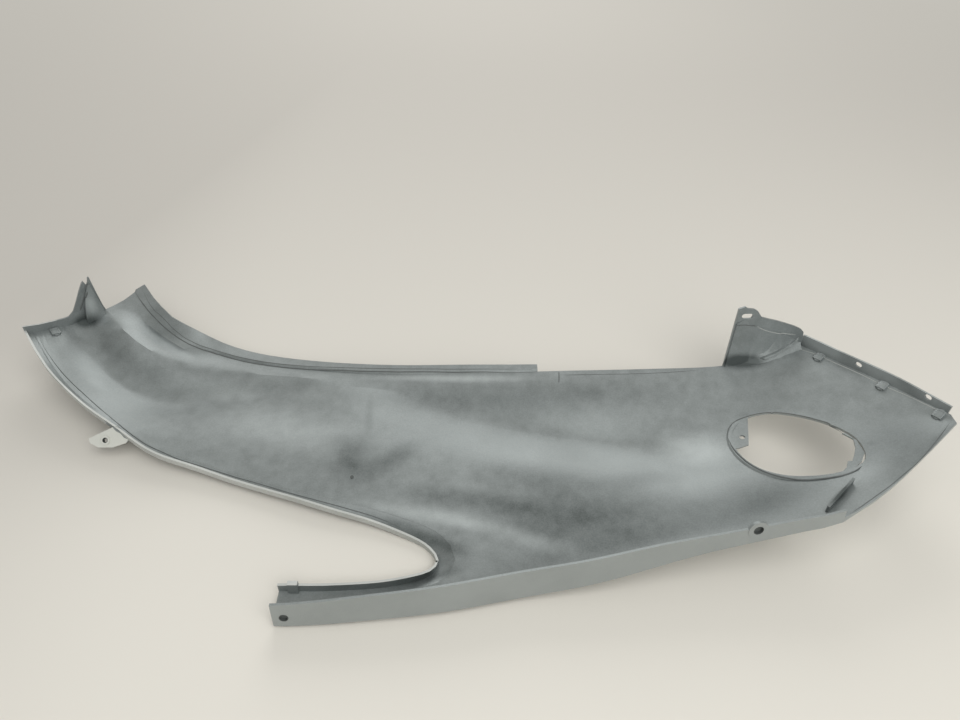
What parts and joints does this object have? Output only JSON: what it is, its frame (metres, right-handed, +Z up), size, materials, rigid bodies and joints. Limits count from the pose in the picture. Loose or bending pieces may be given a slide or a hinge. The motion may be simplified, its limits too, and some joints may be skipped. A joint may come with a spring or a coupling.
{
  "type": "scooter side panel",
  "caption": "Long moulded scooter side panel seen from its inner face, with a slim front arm, a U-shaped cut-out, a turned-up sill and an indicator opening.",
  "frame": {"origin": "centre of the bounding box in plan, at its lowest height, on the surface the panel lies on", "axes": "+X along the panel from the slim front arm to the tail, +Y from the sill to the seat side, +Z up out of the inner face"},
  "size_m": [1.0588, 0.4444, 0.1272],
  "materials": {
    "silver_grey_paint": "satin"
  },
  "bodies": {
    "root": {"side_panel": "silver_grey_paint"}
  },
  "joints": []
}
